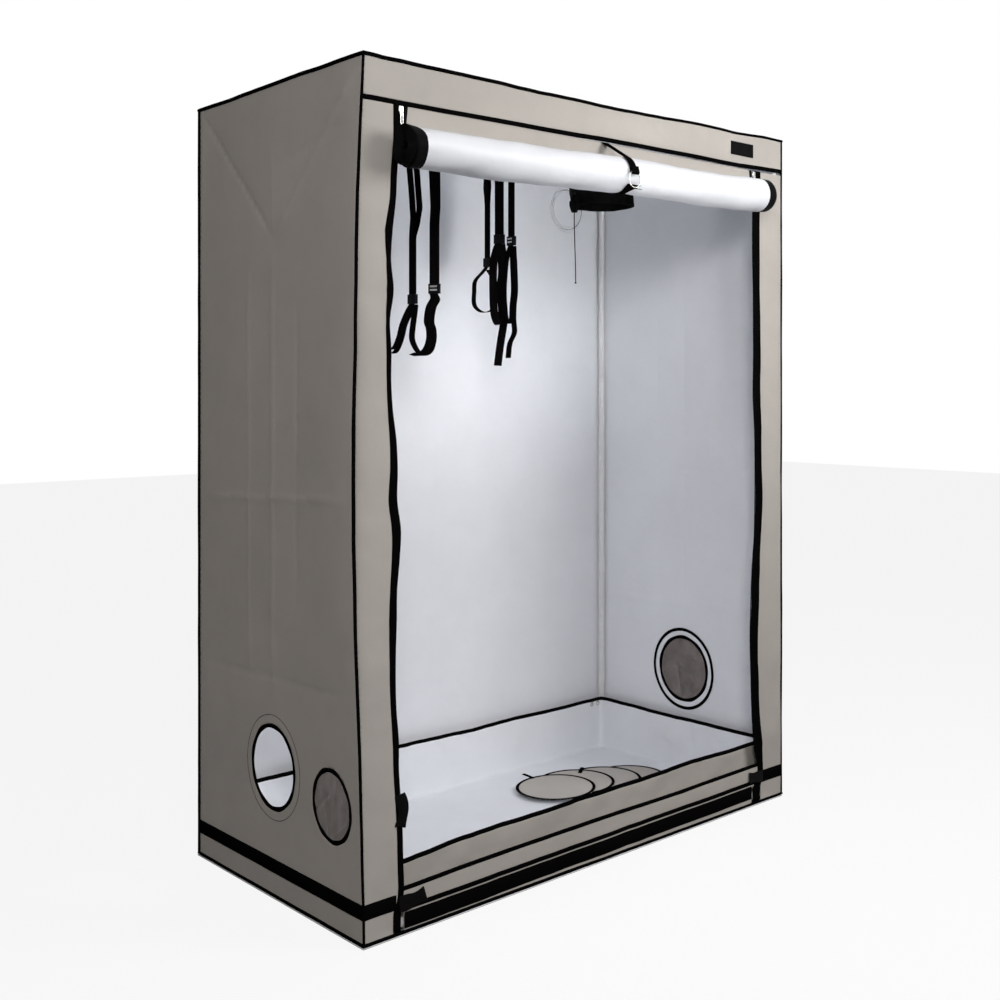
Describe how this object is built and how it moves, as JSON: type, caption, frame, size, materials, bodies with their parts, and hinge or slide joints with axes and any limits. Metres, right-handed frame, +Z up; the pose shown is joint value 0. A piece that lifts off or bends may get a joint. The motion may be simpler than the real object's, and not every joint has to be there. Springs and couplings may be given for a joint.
{
  "type": "indoor grow tent",
  "caption": "Tall fabric plant-growing tent on a tube frame, with a rolled front door, zips, duct ports, spill tray and lamp hangers.",
  "frame": {"origin": "centre of the tent's footprint, on the floor it stands on", "axes": "+Z up along the posts, -Y out of the door, +X to the right of someone who faces the door"},
  "size_m": [1.5034, 0.9167, 2],
  "materials": {
    "grey_cloth": "coated woven cloth, matte",
    "white_cloth": "reflective white film on cloth",
    "black_webbing": "woven webbing and binding, matte",
    "mesh": "fine open mesh",
    "coated_tube": "white powder coat",
    "zinc": "bright nickel plate",
    "buckle_plastic": "moulded plastic"
  },
  "bodies": {
    "tent": {"back_port_cover": "white_cloth", "base_band": "black_webbing", "crossbar_1": "coated_tube", "crossbar_2": "coated_tube", "door_cloth": "white_cloth", "drawcord_knot": "black_webbing", "duct_port_rim": "black_webbing", "edge_piping": "black_webbing", "flank_left": "grey_cloth", "flank_right": "grey_cloth", "floor_sheet": "black_webbing", "header": "grey_cloth", "hook_ring_left": "black_webbing", "hook_ring_right": "black_webbing", "post_back_left": "coated_tube", "post_back_right": "coated_tube", "post_front_left": "coated_tube", "post_front_right": "coated_tube", "rail_low_back": "coated_tube", "rail_low_front": "coated_tube", "rail_low_left": "coated_tube", "rail_low_right": "coated_tube", "rail_top_back": "coated_tube", "rail_top_front": "coated_tube", "rail_top_left": "coated_tube", "rail_top_right": "coated_tube", "roll_strap_lower": "black_webbing", "roll_strap_upper": "black_webbing", "roof": "grey_cloth", "roof_sleeve": "black_webbing", "sill": "grey_cloth", "sleeve_drawcord": "black_webbing", "sleeve_tie": "black_webbing", "spill_tray": "white_cloth", "vent_left": "mesh", "vent_right": "mesh", "wall_back": "grey_cloth", "wall_left": "grey_cloth", "wall_right": "grey_cloth", "zip_tape_left": "black_webbing", "zip_tape_right": "black_webbing"},
    "strap_1": {"hanger_strap_1": "black_webbing"},
    "strap_2": {"hanger_strap_2": "black_webbing"},
    "strap_3": {"hanger_strap_3": "black_webbing"},
    "strap_4": {"hanger_strap_4": "black_webbing"},
    "strap_5": {"hanger_strap_5": "black_webbing"},
    "tab_left": {"pull_tab_left": "zinc"},
    "tab_right": {"pull_tab_right": "zinc"},
    "buckle_1": {"strap_buckle_1": "buckle_plastic"},
    "buckle_2": {"strap_buckle_2": "buckle_plastic"},
    "buckle_3": {"strap_buckle_3": "buckle_plastic"},
    "buckle_4": {"strap_buckle_4": "buckle_plastic"},
    "buckle_5": {"strap_buckle_5": "buckle_plastic"},
    "ring": {"strap_ring": "zinc"},
    "cover_1": {"vent_cover_1": "grey_cloth"},
    "cover_2": {"vent_cover_2": "grey_cloth"},
    "cover_3": {"vent_cover_3": "grey_cloth"},
    "cover_4": {"vent_cover_4": "grey_cloth"},
    "slider_left": {"zip_slider_left": "zinc"},
    "slider_right": {"zip_slider_right": "zinc"}
  },
  "joints": [
    {"name": "zip_left", "type": "slide", "parent": "tent", "child": "slider_left", "axis": [0, 0, 1], "range_m": [-1.85, 0]},
    {"name": "pull_tab_left_swing", "type": "hinge", "parent": "slider_left", "child": "tab_left", "pos_m": [-0.648, -0.4008, 1.887], "axis": [-1, 0, 0], "range_deg": [0, 140]},
    {"name": "zip_right", "type": "slide", "parent": "tent", "child": "slider_right", "axis": [0, 0, 1], "range_m": [-1.85, 0]},
    {"name": "pull_tab_right_swing", "type": "hinge", "parent": "slider_right", "child": "tab_right", "pos_m": [0.618, -0.4008, 1.887], "axis": [-1, 0, 0], "range_deg": [0, 140]},
    {"name": "hanger_1_swing", "type": "hinge", "parent": "tent", "child": "strap_1", "pos_m": [-0.3, 0.05, 1.97995], "axis": [0, 1, 0], "range_deg": [-12, 25]},
    {"name": "buckle_1_slide", "type": "slide", "parent": "strap_1", "child": "buckle_1", "axis": [0, 0, 1], "range_m": [0, 0.15]},
    {"name": "hanger_2_swing", "type": "hinge", "parent": "tent", "child": "strap_2", "pos_m": [-0.3, -0.05, 1.97995], "axis": [0, 1, 0], "range_deg": [-12, 25]},
    {"name": "buckle_2_slide", "type": "slide", "parent": "strap_2", "child": "buckle_2", "axis": [0, 0, 1], "range_m": [0, 0.15]},
    {"name": "hanger_3_swing", "type": "hinge", "parent": "tent", "child": "strap_3", "pos_m": [0, 0.1, 1.97995], "axis": [0, 1, 0], "range_deg": [-25, 12]},
    {"name": "buckle_3_slide", "type": "slide", "parent": "strap_3", "child": "buckle_3", "axis": [0, 0, 1], "range_m": [0, 0.15]},
    {"name": "hanger_4_swing", "type": "hinge", "parent": "tent", "child": "strap_4", "pos_m": [0, 0.045, 1.97995], "axis": [0, 1, 0], "range_deg": [-25, 12]},
    {"name": "buckle_4_slide", "type": "slide", "parent": "strap_4", "child": "buckle_4", "axis": [0, 0, 1], "range_m": [0, 0.15]},
    {"name": "hanger_5_swing", "type": "hinge", "parent": "tent", "child": "strap_5", "pos_m": [0, -0.01, 1.97995], "axis": [0, 1, 0], "range_deg": [-25, 12]},
    {"name": "buckle_5_slide", "type": "slide", "parent": "strap_5", "child": "buckle_5", "axis": [0, 0, 1], "range_m": [0, 0.15]},
    {"name": "ring_turn", "type": "hinge", "parent": "tent", "child": "ring", "pos_m": [0, -0.50917, 1.79327], "axis": [0, 1, 0], "continuous": true},
    {"name": "cover_4_lift", "type": "slide", "parent": "tent", "child": "cover_4", "axis": [0, 0, 1], "range_m": [0, 0.25]},
    {"name": "cover_3_lift", "type": "slide", "parent": "cover_4", "child": "cover_3", "axis": [0, 0, 1], "range_m": [0, 0.25]},
    {"name": "cover_2_lift", "type": "slide", "parent": "cover_3", "child": "cover_2", "axis": [0, 0, 1], "range_m": [0, 0.25]},
    {"name": "cover_1_lift", "type": "slide", "parent": "cover_2", "child": "cover_1", "axis": [0, 0, 1], "range_m": [0, 0.25]}
  ]
}
